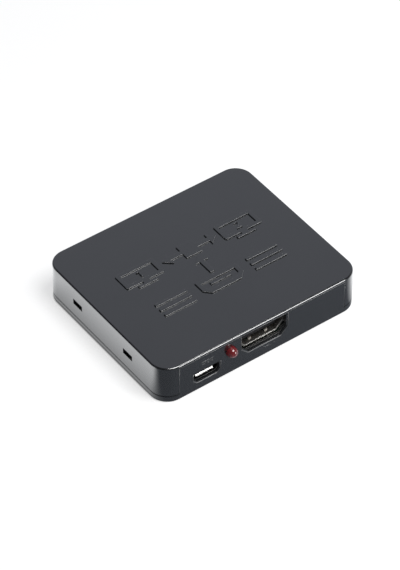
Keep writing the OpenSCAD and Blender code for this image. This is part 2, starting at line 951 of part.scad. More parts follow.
module lamp_leads() {
    half = lead_t / 2;
    low = board_z - leg_stub - lamp_z;
    color([0.75, 0.75, 0.76])
        for (side = [-1, 1])
            translate([lamp_x + side * lead_pitch / 2, lens_back, lamp_z])
                across_x(lead_t)
                    polygon([
                        [-lead_sink, half], [lead_run, half], [lead_run, low],
                        [lead_run - lead_t, low], [lead_run - lead_t, -half], [-lead_sink, -half]
                    ]);
}

// Chip bodies and their bent leads, in a chip's own frame on the board
module gull_lead(w, body_h) {
    z = chip_lift + body_h / 2;
    shoulder = gull_reach * 0.25;
    heel = gull_reach * 0.45;
    rotate([90, 0, 0])
        linear_extrude(w, center = true)
            polygon([
                [0, z + gull_t], [shoulder + gull_t / 2, z + gull_t], [heel + gull_t, gull_t],
                [gull_reach, gull_t], [gull_reach, 0], [heel, 0], [shoulder, z], [0, z]
            ]);
}

module lead_row(x, count, pitch, w, body_h) {
    for (i = [0:count - 1])
        translate([x, (i - (count - 1) / 2) * pitch, 0])
            gull_lead(w, body_h);
}

module chip_body(x, y, h) {
    dimple_r = 0.4;
    dimple_d = 0.1;
    margin = 1;
    color([0.06, 0.06, 0.06])
        difference() {
            translate([-x / 2, -y / 2, chip_lift])
                cube([x, y, h]);
            translate([margin - x / 2, margin - y / 2, chip_lift + h - dimple_d])
                cylinder(h = cut, r = dimple_r);
        }
}

module at_chip() {
    translate([chip_x, 0, board_top])
        children();
}

module splitter_chip() {
    at_chip()
        chip_body(chip_side, chip_side, chip_h);
}

module splitter_chip_leads() {
    color([0.75, 0.75, 0.76])
        at_chip()
            for (k = [0:3])
                rotate(90 * k)
                    lead_row(chip_side / 2, chip_leads_side, chip_pitch, chip_lead_w, chip_h);
}

module at_memory() {
    translate([memory_x, memory_y, board_top])
        children();
}

module memory_chip() {
    at_memory()
        chip_body(memory_w, memory_len, chip_h);
}

module memory_chip_leads() {
    color([0.75, 0.75, 0.76])
        at_memory()
            for (k = [0, 2])
                rotate(90 * k)
                    lead_row(memory_w / 2, 4, memory_pitch, memory_lead_w, chip_h);
}

module at_regulators() {
    for (i = [0, 1])
        translate([regulator_x, regulator_y + i * regulator_pitch, board_top])
            children();
}

module regulators() {
    at_regulators()
        chip_body(regulator_w, regulator_len, regulator_h);
}

module regulator_leads() {
    color([0.75, 0.75, 0.76])
        at_regulators() {
            lead_row(regulator_w / 2, 3, regulator_lead_pitch, regulator_lead_w, regulator_h);
            rotate(180)
                lead_row(regulator_w / 2, 1, 0, regulator_tab_w, regulator_h);
        }
}

// Crystal: metal can with a flange on a plastic base
module at_crystal() {
    translate([crystal_x, crystal_y, board_top])
        children();
}

module rounded_bar(len, w, h) {
    linear_extrude(h) {
        square([len - w, w], center = true);
        for (x = [-1, 1])
            translate([x * (len - w) / 2, 0])
                circle(w / 2);
    }
}

module crystal_can() {
    rim = 0.4;
    flange_w = crystal_w - rim;
    flange_len = crystal_len - rim;
    color([0.75, 0.75, 0.76])
        at_crystal()
            translate([0, 0, crystal_base_t]) {
                rounded_bar(flange_len, flange_w, crystal_flange);
                rounded_bar(flange_len - 2 * crystal_flange, flange_w - 2 * crystal_flange, crystal_h);
            }
}

module crystal_base() {
    color([0.07, 0.07, 0.07])
        at_crystal()
            translate([-crystal_len / 2, -crystal_w / 2, 0])
                cube([crystal_len, crystal_w, crystal_base_t]);
}

// Chip parts: a bare body between two metal end caps, lying along x
module part_body(len, w, h) {
    translate([end_cap - len / 2, -w / 2, 0])
        cube([len - 2 * end_cap, w, h]);
}

module part_ends(len, w, h) {
    for (side = [0, 1])
        mirror([side, 0, 0])
            translate([len / 2 - end_cap, -w / 2, 0])
                cube([end_cap, w, h]);
}

module at_capacitors() {
    at_chip()
        for (turn = [-90, 90], i = [-2:2])
            rotate(turn)
                translate([i * capacitor_pitch, capacitor_reach, 0])
                    children();
}

module at_resistors() {
    for (i = [-3.5:3.5]) {
        translate([input_x + i * resistor_pitch, -resistor_y, board_top])
            rotate(90)
                children();
        for (x = [-output_x, output_x])
            translate([x + i * resistor_pitch, resistor_y, board_top])
                rotate(90)
                    children();
    }
}

module at_bulk() {
    for (i = [0, 1])
        translate([bulk_x - i * bulk_pitch, bulk_y, board_top])
            rotate(90)
                children();
}

module at_bead() {
    translate([power_x, bead_y, board_top])
        children();
}

module ceramic_capacitors() {
    color([0.62, 0.47, 0.3])
        at_capacitors()
            part_body(chip_part_len, chip_part_w, capacitor_h);
}

module capacitor_ends() {
    color("silver")
        at_capacitors()
            part_ends(chip_part_len, chip_part_w, capacitor_h);
}

module resistors() {
    color([0.1, 0.1, 0.1])
        at_resistors()
            part_body(chip_part_len, chip_part_w, resistor_h);
}

module resistor_ends() {
    color("silver")
        at_resistors()
            part_ends(chip_part_len, chip_part_w, resistor_h);
}

module bulk_capacitors() {
    color([0.85, 0.6, 0.15])
        at_bulk()
            part_body(bulk_len, bulk_w, bulk_h);
}

module bulk_capacitor_ends() {
    color("silver")
        at_bulk()
            part_ends(bulk_len, bulk_w, bulk_h);
}

module ferrite_bead() {
    color([0.3, 0.3, 0.3])
        at_bead()
            part_body(bead_len, bead_w, bead_h);
}

module ferrite_bead_ends() {
    color("silver")
        at_bead()
            part_ends(bead_len, bead_w, bead_h);
}

// Solder cones around the legs and leads, under the board
module solder_cones(half_w, places) {
    for (x = [-1, 1], y = places)
        translate([x * (half_w + socket_sheet / 2), y + leg_w / 2, -board_t - leg_stub])
            cylinder(h = leg_stub, r1 = solder_tip_r, r2 = solder_r);
}

module solder_joints() {
    color("silver")
        difference() {
            union() {
                at_video_sockets()
                    solder_cones(socket_w / 2, [leg_first, leg_first + leg_pitch]);
                at_front(power_x, power_mouth)
                    solder_cones(power_w / 2, power_legs);
                at_lamp_leads()
                    translate([0, 0, board_z - leg_stub])
                        cylinder(h = leg_stub, r1 = solder_tip_r, r2 = solder_r);
            }
            at_video_sockets()
                video_legs(-board_t - leg_stub - cut, cut);
            at_front(power_x, power_mouth)
                power_shell_legs(-board_t - leg_stub - cut, cut);
            lamp_leads();
        }
}

top_cover();
bottom_cover();
snap_hooks();
main_board();
input_shell();
input_insulator();
input_contacts();
output_1_shell();
output_1_insulator();
output_1_contacts();
output_2_shell();
output_2_insulator();
output_2_contacts();
power_shell();
power_insulator();
power_contacts();
lamp_lens();
lamp_leads();
splitter_chip();
splitter_chip_leads();
memory_chip();
memory_chip_leads();
regulators();
regulator_leads();
crystal_can();
crystal_base();
ceramic_capacitors();
capacitor_ends();
resistors();
resistor_ends();
bulk_capacitors();
bulk_capacitor_ends();
ferrite_bead();
ferrite_bead_ends();
solder_joints();
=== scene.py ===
"""Looks of the video splitter: materials, relief and print on the CAD nodes, studio, camera."""

import json
import math

import bmesh
import bpy
from mathutils import Matrix, Vector


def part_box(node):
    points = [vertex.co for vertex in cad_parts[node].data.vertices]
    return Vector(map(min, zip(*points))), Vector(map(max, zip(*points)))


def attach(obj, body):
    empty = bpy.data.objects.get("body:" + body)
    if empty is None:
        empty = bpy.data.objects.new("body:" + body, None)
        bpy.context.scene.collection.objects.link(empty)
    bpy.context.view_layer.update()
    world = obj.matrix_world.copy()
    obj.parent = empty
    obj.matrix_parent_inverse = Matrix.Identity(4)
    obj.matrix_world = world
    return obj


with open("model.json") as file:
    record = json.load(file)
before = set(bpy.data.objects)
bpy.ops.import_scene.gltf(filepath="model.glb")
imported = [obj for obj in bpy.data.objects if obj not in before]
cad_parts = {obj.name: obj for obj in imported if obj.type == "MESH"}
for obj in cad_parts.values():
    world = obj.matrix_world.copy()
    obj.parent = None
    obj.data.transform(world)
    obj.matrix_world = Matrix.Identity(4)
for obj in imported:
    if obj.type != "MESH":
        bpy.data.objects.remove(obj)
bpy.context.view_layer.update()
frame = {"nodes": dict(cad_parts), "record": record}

NODES = frame["nodes"]
MM = 0.001

# Places that follow the CAD model, in metres
CASE_LOW, CASE_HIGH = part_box("top_cover")
TOP_Z = CASE_HIGH.z
FRONT_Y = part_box("bottom_cover")[0].y
REAR_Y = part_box("bottom_cover")[1].y
BOARD_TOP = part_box("main_board")[1].z
LAMP_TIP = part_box("lamp_lens")[0].y
# Video sockets and the directions into their mouths
VIDEO_SHELLS = (("input_shell", 1), ("output_1_shell", -1), ("output_2_shell", -1))
# Panels, in millimetres: half their width and their lower and upper edges
PANEL_HALF, PANEL_LOW, PANEL_TOP = 26.7, 2.3, 11.03
# Half a video opening's width and the gap between panel and lip, in millimetres
OPENING_HALF, LIP_STEP = 7.5, 0.12
# Radius of the case's corners
CORNER = 5.3 * MM


# Node trees

# Samples of a rounded edge, and cosines of the normal's turn over which an edge counts as rubbed
BEVEL_SAMPLES, EDGE_TURN = 6, (1.0, 0.93)


def put(tree, kind, inputs=None, **props):
    """Adds a shader node; inputs maps sockets to values or to other nodes' outputs."""
    made = tree.nodes.new("ShaderNode" + kind)
    for key, value in props.items():
        setattr(made, key, value)
    for key, value in (inputs or {}).items():
        if isinstance(value, bpy.types.NodeSocket):
            tree.links.new(value, made.inputs[key])
        else:
            made.inputs[key].default_value = value
    return made


def grey(value):
    return (value, value, value, 1.0)


def new_material(name, **sockets):
    """A material with one Principled shader, whose constant sockets are set here."""
    mat = bpy.data.materials.new(name)
    mat.use_nodes = True
    tree = mat.node_tree
    tree.nodes.clear()
    out = tree.nodes.new("ShaderNodeOutputMaterial")
    bsdf = put(tree, "BsdfPrincipled", {key.replace("_", " "): value for key, value in sockets.items()})
    tree.links.new(bsdf.outputs["BSDF"], out.inputs["Surface"])
    return mat, tree, bsdf


def object_place(tree):
    return put(tree, "TexCoord").outputs["Object"]


def noise(tree, place, size_mm, detail, roughness=0.5):
    """Noise whose blobs are about size_mm across, from 0 to 1."""
    made = put(tree, "TexNoise", {
        "Vector": place, "Scale": 1 / (size_mm * MM), "Detail": detail, "Roughness": roughness})
    return made.outputs["Fac"]


def spread(tree, value, low, high, start=0.3, end=0.7):
    """Stretches a 0 to 1 value from start..end to low..high."""
    made = put(tree, "MapRange", {
        "Value": value, "From Min": start, "From Max": end, "To Min": low, "To Max": high})
    return made.outputs["Result"]


def blended(tree, share, first, second):
    """Mixes two colours, each four numbers or another node's output, by a share."""
    return put(tree, "Mix", {0: share, 6: first, 7: second}, data_type="RGBA").outputs[2]


def tint(tree, value, dark, light):
    """Colour between a dark and a light tone by a noise value."""
    return blended(tree, spread(tree, value, 0, 1), (*dark, 1), (*light, 1))


def dotted(tree, vector, way):
    """Dot product of a vector socket with another one or with a fixed direction."""
    return put(tree, "VectorMath", {0: vector, 1: way}, operation="DOT_PRODUCT").outputs["Value"]


def math_node(tree, operation, first, second=0.0):
    return put(tree, "Math", {0: first, 1: second}, operation=operation).outputs[0]


def rounded(tree, radius_mm):
    """Shading normal of edges rounded by a small radius."""
    return put(tree, "Bevel", {"Radius": radius_mm * MM}, samples=BEVEL_SAMPLES).outputs["Normal"]


def edge_mask(tree, normal):
    """1 where a rounded shading normal turns away from the face, 0 on the rest of it."""
    face = put(tree, "NewGeometry").outputs["Normal"]
    return spread(tree, dotted(tree, normal, face), 0, 1, *EDGE_TURN)


def bump(tree, height, depth_mm, strength, normal=None):
    inputs = {"Height": height, "Distance": depth_mm * MM, "Strength": strength}
    if normal is not None:
        inputs["Normal"] = normal
    return put(tree, "Bump", inputs).outputs["Normal"]


def link(tree, bsdf, **sockets):
    for key, value in sockets.items():
        tree.links.new(value, bsdf.inputs[key.replace("_", " ")])


# Materials

# Mouldings: size of the clouding, spread of the gloss and step from it to the skin's
CASE_CLOUD, CASE_GLOSS, SKIN_STEP = 14, 0.03, 0.04
# Mouldings: size, depth and strength of the grain; refraction of the body and of the skin
CASE_GRAIN, BODY_IOR, SKIN_IOR = (0.16, 0.006, 0.15), 1.9, 2.2
# Metals: sizes of streaks and spots, and what each of them changes the gloss by
STREAK_SIZE, SPOT_SIZE, STREAK_GLOSS, SPOT_GLOSS = 0.12, 1.6, 0.04, 0.05
# Metals: depth and strength of the streaks
STREAK_BUMP = 0.004, 0.3
# Metals: brightness of the dull spots and of rubbed edges, as shares of the colour
DULL_SHARE, RUBBED_SHARE = 0.82, 1.4
# Resins: size of the clouds in speckles, radius of the edges, spread of the gloss
CLOUD_RATIO, RESIN_ROUND, RESIN_GLOSS = 12, 0.06, 0.06
# Resins: share of the speckle in the colour, its depth and strength
SPECK_SHARE, SPECK_BUMP = 0.5, (0.01, 0.4)
# Lamp: side of the dome on which the painted bow of light from above lies, and the depth over which the dome
# gets dull
GATHER_WAY, DOME_SPAN = Vector((0.28, -0.815, -0.507)), (LAMP_TIP + 1.0 * MM, LAMP_TIP + 1.35 * MM)
# Lamp: tones of the resin, size of its clouds, its roughness, colour of the bow, a painted highlight
LAMP_TONES, LAMP_CLOUD = ((0.295, 0.03, 0.037), (0.375, 0.043, 0.051)), 0.8
LAMP_ROUGH, PAINTED_BOW_COLOR = (0.18, 0.26), (0.62, 0.4, 0.42, 1)
# Lamp: where the painted bow starts and ends across the dome, and the side that it lies on
BOW_START, BOW_END, BOW_SIDE = (0.33, 0.45), (0.58, 0.7), (0.15, 0.6)
# Board: sizes of the clouding and of the weave, depth and strength of the weave, roughness
MASK_CLOUD, WEAVE_SIZE, WEAVE_BUMP, MASK_ROUGH = 9, 0.5, (0.01, 0.3), (0.24, 0.36)
# Board: near-black colour of the sawn sides, painted shade, and how far a face looks up or down where the
# mask starts
PAINTED_SHADE_SIDE_COLOR, PAINTED_SHADE_SIDE_SPAN = (0.03, 0.028, 0.016, 1), (0.4, 0.6)


def case_plastic(name, dark, light, rough=0.17):
    """Satin moulding: faint clouding, fine spark-eroded grain under a glossy skin."""
    mat, tree, bsdf = new_material(
        name, IOR=BODY_IOR, Coat_Weight=1.0, Coat_IOR=SKIN_IOR, Coat_Roughness=rough - SKIN_STEP)
    place = object_place(tree)
    size_mm, depth_mm, strength = CASE_GRAIN
    cloud = noise(tree, place, CASE_CLOUD, 3)
    normal = bump(tree, noise(tree, place, size_mm, 1), depth_mm, strength)
    link(tree, bsdf, Base_Color=tint(tree, cloud, dark, light), Normal=normal, Coat_Normal=normal,
         Roughness=spread(tree, cloud, rough - CASE_GLOSS, rough + CASE_GLOSS))
    return mat


def plain_metal(name, color, rough, brushed=(1, 1, 1), edge_mm=0.0, metallic=1.0, uneven=1.0):
    """Plated or tinned metal: fine streaks, spots of uneven gloss, edges rounded by a radius."""
    mat, tree, bsdf = new_material(name, Metallic=metallic)
    place = put(tree, "Mapping", {"Vector": object_place(tree), "Scale": brushed}).outputs[0]
    streak = noise(tree, place, STREAK_SIZE, 3)
    spot = noise(tree, object_place(tree), SPOT_SIZE, 2)
    normal, plated = None, tint(tree, spot, tuple(DULL_SHARE * c for c in color), color)
    if edge_mm:
        normal = rounded(tree, edge_mm)
        rubbed_wear_and_painted_highlight = (*(min(1.0, RUBBED_SHARE * c) for c in color), 1)
        plated = blended(tree, edge_mask(tree, normal), plated, rubbed_wear_and_painted_highlight)
    spots, streaks = SPOT_GLOSS * uneven, STREAK_GLOSS * uneven
    depth_mm, strength = STREAK_BUMP
    link(tree, bsdf, Base_Color=plated,
         Roughness=math_node(tree, "ADD", spread(tree, spot, rough - spots, rough + spots),
                             spread(tree, streak, -streaks, streaks)),
         Normal=bump(tree, streak, depth_mm, strength * uneven, normal))
    return mat


def matt_body(name, dark, light, size_mm, rough):
    """Moulded resin, ceramic or ferrite: speckle and grain of a given size."""
    mat, tree, bsdf = new_material(name)
    place = object_place(tree)
    speck = noise(tree, place, size_mm, 4, 0.6)
    cloud = noise(tree, place, size_mm * CLOUD_RATIO, 2)
    mixed = math_node(tree, "ADD", math_node(tree, "MULTIPLY", speck, SPECK_SHARE),
                      math_node(tree, "MULTIPLY", cloud, 1 - SPECK_SHARE))
    link(tree, bsdf, Base_Color=tint(tree, mixed, dark, light),
         Roughness=spread(tree, speck, rough - RESIN_GLOSS, rough + RESIN_GLOSS),
         Normal=bump(tree, speck, *SPECK_BUMP, rounded(tree, RESIN_ROUND)))
    return mat


def lamp_resin(name):
    """Cloudy red epoxy, unlit: glossy dome on a duller foot, and a pale bow painted into its colour where
    light from above would gather, a painted highlight.
    """
    mat, tree, bsdf = new_material(
        name, IOR=1.54, Transmission_Weight=0.15, Coat_IOR=1.9, Coat_Roughness=0.16)
    place = object_place(tree)
    depth = put(tree, "SeparateXYZ", {"Vector": place}).outputs["Y"]
    cloud = noise(tree, place, LAMP_CLOUD, 2)
    face = put(tree, "TexCoord").outputs["Normal"]
    lower_side = spread(tree, dotted(tree, face, GATHER_WAY), 0, 1, *BOW_SIDE)
    facing = put(tree, "LayerWeight", {"Blend": 0.5}).outputs["Facing"]
    # Painted highlight: a pale bow on the lower side of the dome's rim, mixed into the base colour
    bow = math_node(tree, "MULTIPLY", spread(tree, facing, 0, 1, *BOW_START),
                    spread(tree, facing, 1, 0, *BOW_END))
    lit = math_node(tree, "MULTIPLY", bow, lower_side)
    link(tree, bsdf, Base_Color=blended(tree, lit, tint(tree, cloud, *LAMP_TONES), PAINTED_BOW_COLOR),
         Roughness=spread(tree, cloud, *LAMP_ROUGH), Coat_Weight=spread(tree, depth, 1, 0, *DOME_SPAN))
    return mat


def board_mask(name, dark, light):
    """Green solder mask: faint clouding over the weave of the laminate; sawn sides painted near-black as
    shade.
    """
    mat, tree, bsdf = new_material(name, IOR=1.5)
    place = object_place(tree)
    cloud = noise(tree, place, MASK_CLOUD, 3)
    weave = noise(tree, place, WEAVE_SIZE, 2)
    up = put(tree, "SeparateXYZ", {"Vector": put(tree, "TexCoord").outputs["Normal"]}).outputs["Z"]
    # Painted shade: faces that look sideways get a near-black colour
    flat = spread(tree, math_node(tree, "ABSOLUTE", up), 0, 1, *PAINTED_SHADE_SIDE_SPAN)
    color = blended(tree, flat, PAINTED_SHADE_SIDE_COLOR, tint(tree, cloud, dark, light))
    link(tree, bsdf, Base_Color=color, Roughness=spread(tree, cloud, *MASK_ROUGH),
         Normal=bump(tree, weave, *WEAVE_BUMP))
    return mat


CASE = case_plastic("case_plastic_satin", (0.0145, 0.016, 0.0178), (0.0185, 0.0202, 0.0225))
# Paler finish for the relief's front sides: painted highlight
RELIEF_PAINTED_HIGHLIGHT = case_plastic("case_plastic_relief_painted_highlight", (0.16, 0.163, 0.17), (0.24, 0.244, 0.25), rough=0.6)
# Paler finishes for the moulded edges, brightest on level runs: painted highlight
EDGE_PAINTED_HIGHLIGHT = case_plastic("case_plastic_edge_painted_highlight", (0.13, 0.134, 0.14), (0.21, 0.215, 0.222), rough=0.55)
PALE_EDGE_PAINTED_HIGHLIGHT = case_plastic("case_plastic_pale_edge_painted_highlight", (0.2, 0.204, 0.21), (0.31, 0.315, 0.322), rough=0.55)
DIM_EDGE_PAINTED_HIGHLIGHT = case_plastic("case_plastic_dim_edge_painted_highlight", (0.02, 0.021, 0.0225), (0.03, 0.031, 0.033), rough=0.55)
# Dark matt trim along the power socket's lip, which cuts the lip's bright band short
DARK_LIP_TRIM = plain_metal("steel_dark_lip_trim", (0.07, 0.07, 0.07), 0.6)
POWER_STEEL = plain_metal("power_steel_tinned", (0.6, 0.595, 0.583), 0.24, uneven=0.15)
RIM_STEEL = plain_metal("mouth_steel_rolled", (0.85, 0.83, 0.79), 0.42, metallic=0.8, uneven=0.3)
SPRING_STEEL = plain_metal("spring_steel_formed", (0.33, 0.31, 0.28), 0.5, edge_mm=0.05)
TRACK = board_mask("board_track_green", (0.012, 0.095, 0.045), (0.018, 0.12, 0.058))
INK = matt_body("board_print_white", (0.6, 0.6, 0.58), (0.74, 0.74, 0.72), 0.1, 0.6)
MATERIALS = {
    "case_plastic": CASE,
    "board_mask": board_mask("board_mask_green", (0.004, 0.042, 0.02), (0.006, 0.054, 0.026)),
    "socket_steel": plain_metal("socket_steel_nickel", (0.76, 0.73, 0.68), 0.22, (1, 6, 1), 0.03, 0.8),
    "insulator_plastic": matt_body("insulator_black", (0.028, 0.027, 0.029), (0.042, 0.04, 0.043), 0.12, 0.5),
    "contact_gold": plain_metal("contact_gold_flash", (0.6, 0.4, 0.15), 0.3, (6, 1, 1), 0.04),
    "lamp_red": lamp_resin("lamp_red_resin"),
    "tinned_lead": plain_metal("tinned_lead_matt", (0.6, 0.6, 0.6), 0.38, edge_mm=0.05),
    "chip_resin": matt_body("chip_resin_black", (0.012, 0.012, 0.013), (0.026, 0.026, 0.027), 0.1, 0.55),
    "can_steel": plain_metal("can_steel_drawn", (0.62, 0.62, 0.62), 0.3, (1, 8, 8), 0.05),
    "capacitor_ceramic": matt_body("capacitor_tan", (0.3, 0.19, 0.1), (0.42, 0.28, 0.16), 0.09, 0.45),
    "resistor_glaze": matt_body("resistor_black_glaze", (0.01, 0.01, 0.012), (0.03, 0.03, 0.034), 0.15, 0.3),
    "bulk_resin": matt_body("bulk_yellow_resin", (0.5, 0.27, 0.03), (0.62, 0.36, 0.06), 0.12, 0.45),
    "ferrite": matt_body("ferrite_grey", (0.05, 0.05, 0.053), (0.1, 0.1, 0.104), 0.08, 0.6),
    "solder": plain_metal("solder_bright", (0.62, 0.62, 0.64), 0.3, edge_mm=0.05),
}
# Nodes whose material departs from their slot's
OWN_MATERIALS = {"power_shell": POWER_STEEL}


def dress_nodes():
    """Gives every CAD node its own material or that of its slot in the record."""
    for part in frame["record"]["subparts"]:
        mesh = NODES[part["node"]].data
        mesh.materials.clear()
        mesh.materials.append(OWN_MATERIALS.get(part["node"], MATERIALS[part["material_slot"]]))


# Raised marks, drawn in millimetres

# Depth of the marks below their face, and steps of a round edge
SINK, ROUND_STEPS = 0.3, 4
# Heights of the marks above their face, and radii of their edges
RELIEF_HEIGHT, RELIEF_EDGE, SIGN_HEIGHT, SIGN_EDGE = 0.33, 0.1, 0.045, 0.03
# Width of a digit's stroke, as a share of its height
PEN = 0.17
# Sides of the relief that get a painted highlight: limits of their normals along y and z
PAINTED_HIGHLIGHT_FRONT, PAINTED_HIGHLIGHT_UP = -0.15, (0.1, 0.99)
# Frames of the marked faces: across, up and out of the face
TOP_FACE = Matrix(((1, 0, 0), (0, 1, 0), (0, 0, 1)))
FRONT_FACE = Matrix(((1, 0, 0), (0, 0, -1), (0, 1, 0)))
REAR_FACE = Matrix(((-1, 0, 0), (0, 0, 1), (0, 1, 0)))


def add_piece(name, made, finish, body):
    """Turns a bmesh into a piece with the given materials, which rides on a body."""
    mesh = bpy.data.meshes.new(name)
    made.to_mesh(mesh)
    made.free()
    for material in finish:
        mesh.materials.append(material)
    piece = bpy.data.objects.new(name, mesh)
    bpy.context.scene.collection.objects.link(piece)
    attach(piece, body)


def mitre(into, onward):
    """Step to the left of a corner between two directions, one unit off both of its sides."""
    first, second = Vector((-into.y, into.x)), Vector((-onward.y, onward.x))
    return (first + second) / (1 + first.dot(second))


def directions(path):
    return [(onward - here).normalized() for here, onward in zip(path, path[1:])]


def left_steps(path):
    """Steps to the left of an open path's points, one unit off its runs."""
    runs = directions(path)
    return [mitre(into, onward) for into, onward in zip(runs[:1] + runs, runs + runs[-1:])]


def inset(loop, size):
    """Moves a closed outline to its left by a distance, with mitred corners."""
    points = [Vector(p) for p in loop]
    runs = directions(points + points[:1])
    return [here + mitre(runs[i - 1], runs[i]) * size for i, here in enumerate(points)]


def ring(loop, width):
    """An outline and its hole, a line's width inside it."""
    return [loop, [tuple(p) for p in reversed(inset(loop, width))]]


def bar(x, y, w, h):
    return [(x - w / 2, y - h / 2), (x + w / 2, y - h / 2), (x + w / 2, y + h / 2), (x - w / 2, y + h / 2)]


def shifted(loop, x, y, scale=1.0):
    return [(x + scale * p[0], y + scale * p[1]) for p in loop]


def stroke(points, width):
    """Outline of a pen stroke along an open line."""
    there = [Vector(p) for p in points]
    steps = [step * (width / 2) for step in left_steps(there)]
    left = [tuple(p + s) for p, s in zip(there, steps)]
    right = [tuple(p - s) for p, s in zip(there, steps)]
    return right + left[::-1]


def digit(number):
    """Outline of a plain 1 or 2, one unit high and centred."""
    if number == 1:
        return stroke([(-0.2, 0.22), (0.06, 0.42), (0.06, -0.5)], PEN)
    bow = [(0.22 * math.cos(a), 0.2 + 0.22 * math.sin(a)) for a in
           (math.radians(170 - 25 * k) for k in range(9))]
    return stroke([*bow, (-0.22, -0.415), (0.3, -0.415)], PEN)


def wall(made, loop, height, edge, sink):
    """Side of a mark over one of its outlines, with a round upper edge; returns the edges of its top."""
    turns = [math.pi / 2 * k / ROUND_STEPS for k in range(ROUND_STEPS + 1)] if edge else [0.0]
    levels = [(loop, -sink)]
    levels += [(inset(loop, edge * (1 - math.cos(a))), height - edge + edge * math.sin(a)) for a in turns]
    rows = [[made.verts.new((p[0], p[1], z)) for p in line] for line, z in levels]
    count = range(len(loop))
    for low, high in zip(rows, rows[1:]):
        for i in count:
            made.faces.new((low[i - 1], low[i], high[i], high[i - 1])).smooth = True
    for low, high in zip(rows, rows[1:]):
        for i in count:
            made.edges.get((high[i - 1], high[i])).smooth = high is not rows[-1]
            made.edges.get((low[i], high[i])).smooth = False
    return [made.edges.get((rows[-1][i - 1], rows[-1][i])) for i in count]


def raised(name, shapes, body, face, origin, height, edge=0.0, finish=(CASE, RELIEF_PAINTED_HIGHLIGHT),
           sink=SINK, rubbed_wear_and_painted_highlight=False):
    """Marks that stand out of a face, with round edges; a shape is an outline and its holes."""
    made = bmesh.new()
    for loops in shapes:
        rim = [side for loop in loops for side in wall(made, loop, height, edge, sink)]
        bmesh.ops.triangle_fill(made, use_beauty=True, use_dissolve=True, edges=rim, normal=(0, 0, 1))
    bmesh.ops.recalc_face_normals(made, faces=made.faces[:])
    # Sides that face the front and a little up get the second finish, a painted highlight
    if rubbed_wear_and_painted_highlight:
        low, high = PAINTED_HIGHLIGHT_UP
        for side in made.faces:
            side.material_index = int(side.normal.y < PAINTED_HIGHLIGHT_FRONT and low < side.normal.z < high)
    made.transform(Matrix.Translation(origin) @ face.to_4x4() @ Matrix.Scale(MM, 4))
    add_piece(name, made, finish, body)


def top_relief():
    """Raised diagram on the cover: one plug feeds two numbered screens."""
    mid, arrows_y = 0.6, 6.75
    shapes = []
    for side, number in ((-1, 1), (1, 2)):
        x = mid + side * 15.9
        screen = [(x - 3, 2.4), (x + 3, 2.4), (x + 3, 3.2), (x + 1.1, 3.2), (x + 1.1, 3.8), (x + 5.6, 3.8),
                  (x + 6, 4.2), (x + 6, 9.4), (x + 5.6, 9.8), (x - 5.6, 9.8), (x - 6, 9.4), (x - 6, 4.2),
                  (x - 5.6, 3.8), (x - 1.1, 3.8), (x - 1.1, 3.2), (x - 3, 3.2)]
        pane = [(x - 4.8, 5), (x - 4.8, 8.6), (x + 4.8, 8.6), (x + 4.8, 5)]
        shapes += [[screen, pane], [shifted(digit(number), x, 6.8, 2.6)]]
        shapes += [[bar(mid + side * 14.6, y, 10, 0.9)] for y in (-9.6, -7.45, -5.3)]
    block = [(-8.7, 0), (-6.3, -2), (-6.3, -0.7), (-2.5, -0.7), (-2.5, -2.5), (2.5, -2.5), (2.5, -0.7),
             (6.3, -0.7), (6.3, -2), (8.7, 0), (6.3, 2), (6.3, 0.7), (2.5, 0.7), (2.5, 2.5), (-2.5, 2.5),
             (-2.5, 0.7), (-6.3, 0.7), (-6.3, 2)]
    feed = [(-0.7, -3.7), (0.7, -3.7), (0.7, 1), (2, 1), (0, 3.4), (-2, 1), (-0.7, 1)]
    plug = [(-6.6, -8.3), (-4.7, -10.2), (4.7, -10.2), (6.6, -8.3), (6.6, -4.7), (-6.6, -4.7)]
    shapes += [[shifted(block, mid, arrows_y)], [shifted(feed, mid, 0)], ring(shifted(plug, mid, 0), 1.3),
               [bar(mid, -7.1, 6.4, 0.9)]]
    raised("top_relief", shapes, "cover", TOP_FACE, (0, 0, TOP_Z), RELIEF_HEIGHT, RELIEF_EDGE, rubbed_wear_and_painted_highlight=True)


def panel_marks():
    """Small raised signs: current over the power inlet, arrow under the input, numbers by the outputs."""
    current = [[bar(0, 0.4, 3.4, 0.32)]] + [[bar(x, -0.35, 0.85, 0.32)] for x in (-1.27, 0, 1.27)]
    raised("power_sign", current, "base", FRONT_FACE,
           (-17.8 * MM, FRONT_Y, 8.55 * MM), SIGN_HEIGHT, SIGN_EDGE)
    arrow = [(-1.5, -0.14), (0.3, -0.14), (0.3, -0.45), (1.0, 0), (0.3, 0.45), (0.3, 0.14), (-1.5, 0.14)]
    raised("input_sign", [[arrow], [bar(1.4, 0, 0.28, 0.9)]], "base", FRONT_FACE,
           (1.9 * MM, FRONT_Y, 2.75 * MM), SIGN_HEIGHT, SIGN_EDGE)
    for number, x in ((1, 4.2), (2, -4.2)):
        raised(f"output_sign_{number}", [[shifted(digit(number), 0, 0, 2.2)]], "base", REAR_FACE,
               (x * MM, REAR_Y, 6.5 * MM), SIGN_HEIGHT, SIGN_EDGE)


# Copper, pads and print on the board, drawn in millimetres

# Heights of the marks above the board or the chip, and their depth below it
TRACK_HEIGHT, PAD_HEIGHT, PRINT_HEIGHT, DOT_HEIGHT, BOARD_SINK = 0.035, 0.03, 0.05, 0.012, 0.02
# Widths of the tracks and of the print's lines
SIGNAL_WIDTH, POWER_WIDTH, LINE_WIDTH = 0.15, 1.1, 0.15
# Middles of the chip and of the outputs, pitches of leads and resistors, the resistors' row
CHIP_X, OUTPUT_X, LEAD_PITCH, PART_PITCH, PART_Y = 0.45, 13.504, 0.5, 1.5, 9.85
# Columns of capacitors beside the chip and their pitch, signals per socket
CAPACITOR_X, CAPACITOR_PITCH, SIGNALS = (-6.55, 7.45), 2.4, 8
# Distance of a small part's pads from its middle, and their size
PAD_Y, PAD_SIZE = 0.72, (1.0, 0.5)
